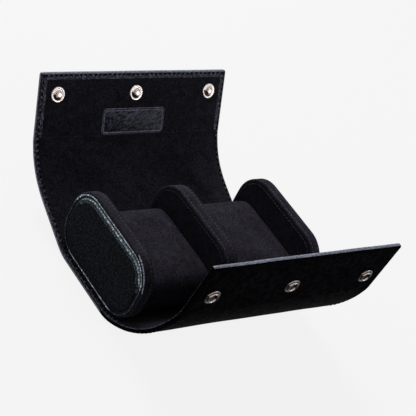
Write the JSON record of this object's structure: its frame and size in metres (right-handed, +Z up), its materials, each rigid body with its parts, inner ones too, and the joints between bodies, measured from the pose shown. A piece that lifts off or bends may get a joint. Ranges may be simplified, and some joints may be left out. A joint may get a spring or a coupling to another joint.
{
  "type": "watch travel case",
  "caption": "Leather travel case for two watches: a wrap folds round end plates, a divider and lift-out cushions, and closes with press studs.",
  "frame": {"origin": "middle of the underside of the flat base", "axes": "+X along the length of the case, +Y from the front flap to the back flap, +Z up, away from the surface it lies on"},
  "size_m": [0.176, 0.2259, 0.1106],
  "materials": {
    "black_leather": "satin",
    "grained_leather": "satin",
    "microsuede": "matte",
    "fibreboard": "matte",
    "greyboard": "matte",
    "foam": "matte",
    "nickel_plate": "polished"
  },
  "bodies": {
    "base": {"base_cover": "black_leather", "base_board": "greyboard", "base_lining": "microsuede", "left_end_core": "fibreboard", "left_end_suede": "microsuede", "left_end_leather": "grained_leather", "left_end_piping": "grained_leather", "divider_core": "fibreboard", "divider_suede": "microsuede", "right_end_core": "fibreboard", "right_end_suede": "microsuede", "right_end_leather": "grained_leather", "right_end_piping": "grained_leather", "front_bend_1": "black_leather", "back_bend_1": "black_leather"},
    "left_cushion": {"left_cushion_foam": "foam", "left_cushion_cover": "microsuede"},
    "right_cushion": {"right_cushion_foam": "foam", "right_cushion_cover": "microsuede"},
    "front_bend_2": {"front_bend_2": "black_leather"},
    "front_bend_3": {"front_bend_3": "black_leather"},
    "front_bend_4": {"front_bend_4": "black_leather"},
    "front_bend_5": {"front_bend_5": "black_leather"},
    "front_bend_6": {"front_bend_6": "black_leather"},
    "front_bend_7": {"front_bend_7": "black_leather"},
    "back_bend_2": {"back_bend_2": "black_leather"},
    "back_bend_3": {"back_bend_3": "black_leather"},
    "back_bend_4": {"back_bend_4": "black_leather"},
    "back_bend_5": {"back_bend_5": "black_leather"},
    "back_bend_6": {"back_bend_6": "black_leather"},
    "back_bend_7": {"back_bend_7": "black_leather"},
    "front_panel": {"front_cover": "black_leather", "front_board": "greyboard", "front_lining": "microsuede", "snap_sockets": "nickel_plate", "socket_rivets": "nickel_plate"},
    "back_panel": {"back_cover": "black_leather", "back_board": "greyboard", "back_lining": "microsuede", "leather_patch": "grained_leather", "snap_studs": "nickel_plate", "stud_rivets": "nickel_plate"}
  },
  "joints": [
    {"name": "front_bend_hinge_2", "type": "hinge", "parent": "base", "child": "front_bend_2", "pos_m": [0, -0.04267, 0.00623], "axis": [-1, 0, 0], "range_deg": [-10.7, 23.71]},
    {"name": "front_bend_hinge_3", "type": "hinge", "parent": "front_bend_2", "child": "front_bend_3", "pos_m": [0, -0.0535, 0.01248], "axis": [-1, 0, 0], "range_deg": [-6, 13.28]},
    {"name": "front_bend_hinge_4", "type": "hinge", "parent": "front_bend_3", "child": "front_bend_4", "pos_m": [0, -0.06307, 0.02051], "axis": [-1, 0, 0], "range_deg": [-3.54, 7.8]},
    {"name": "front_bend_hinge_5", "type": "hinge", "parent": "front_bend_4", "child": "front_bend_5", "pos_m": [0, -0.07143, 0.0298], "axis": [-1, 0, 0], "range_deg": [-4.45, 9.82]},
    {"name": "front_bend_hinge_6", "type": "hinge", "parent": "front_bend_5", "child": "front_bend_6", "pos_m": [0, -0.07824, 0.04029], "axis": [-1, 0, 0], "range_deg": [-11.15, 24.72]},
    {"name": "front_fold", "type": "hinge", "parent": "front_bend_6", "child": "front_bend_7", "pos_m": [0, -0.08402, 0.05137], "axis": [-1, 0, 0], "range_deg": [-12.05, 26.78]},
    {"name": "front_panel_hinge", "type": "hinge", "parent": "front_bend_7", "child": "front_panel", "pos_m": [0, -0.08808, 0.06319], "axis": [-1, 0, 0], "range_deg": [-10.41, 4.71]},
    {"name": "back_fold", "type": "hinge", "parent": "base", "child": "back_bend_2", "pos_m": [0, 0.04282, 0.00582], "axis": [1, 0, 0], "range_deg": [-12.35, 35.28]},
    {"name": "back_bend_hinge_3", "type": "hinge", "parent": "back_bend_2", "child": "back_bend_3", "pos_m": [0, 0.0546, 0.00999], "axis": [1, 0, 0], "range_deg": [-8.9, 25.34]},
    {"name": "back_bend_hinge_4", "type": "hinge", "parent": "back_bend_3", "child": "back_bend_4", "pos_m": [0, 0.06635, 0.01427], "axis": [1, 0, 0], "range_deg": [-5.43, 15.42]},
    {"name": "back_bend_hinge_5", "type": "hinge", "parent": "back_bend_4", "child": "back_bend_5", "pos_m": [0, 0.07798, 0.01885], "axis": [1, 0, 0], "range_deg": [-3.21, 9.09]},
    {"name": "back_bend_hinge_6", "type": "hinge", "parent": "back_bend_5", "child": "back_bend_6", "pos_m": [0, 0.08891, 0.02491], "axis": [1, 0, 0], "range_deg": [-2.44, 6.88]},
    {"name": "back_bend_hinge_7", "type": "hinge", "parent": "back_bend_6", "child": "back_bend_7", "pos_m": [0, 0.09849, 0.03294], "axis": [1, 0, 0], "range_deg": [-3.29, 9.31]},
    {"name": "back_panel_hinge", "type": "hinge", "parent": "back_bend_7", "child": "back_panel", "pos_m": [0, 0.10635, 0.04266], "axis": [1, 0, 0], "range_deg": [-5.8, 16.48]},
    {"name": "left_cushion_lift", "type": "slide", "parent": "base", "child": "left_cushion", "axis": [0, 0, 1], "range_m": [0, 0.08]},
    {"name": "right_cushion_lift", "type": "slide", "parent": "base", "child": "right_cushion", "axis": [0, 0, 1], "range_m": [0, 0.08]}
  ],
  "couplings": [
    {"joint": "front_bend_hinge_2", "follows": "front_fold", "ratio": 0.88337},
    {"joint": "front_bend_hinge_3", "follows": "front_fold", "ratio": 0.49396},
    {"joint": "front_bend_hinge_4", "follows": "front_fold", "ratio": 0.28923},
    {"joint": "front_bend_hinge_5", "follows": "front_fold", "ratio": 0.3649},
    {"joint": "front_bend_hinge_6", "follows": "front_fold", "ratio": 0.92095},
    {"joint": "front_panel_hinge", "follows": "front_fold", "ratio": -0.3868},
    {"joint": "back_bend_hinge_3", "follows": "back_fold", "ratio": 0.71684},
    {"joint": "back_bend_hinge_4", "follows": "back_fold", "ratio": 0.4356},
    {"joint": "back_bend_hinge_5", "follows": "back_fold", "ratio": 0.2563},
    {"joint": "back_bend_hinge_6", "follows": "back_fold", "ratio": 0.19365},
    {"joint": "back_bend_hinge_7", "follows": "back_fold", "ratio": 0.26241},
    {"joint": "back_panel_hinge", "follows": "back_fold", "ratio": 0.4657}
  ]
}
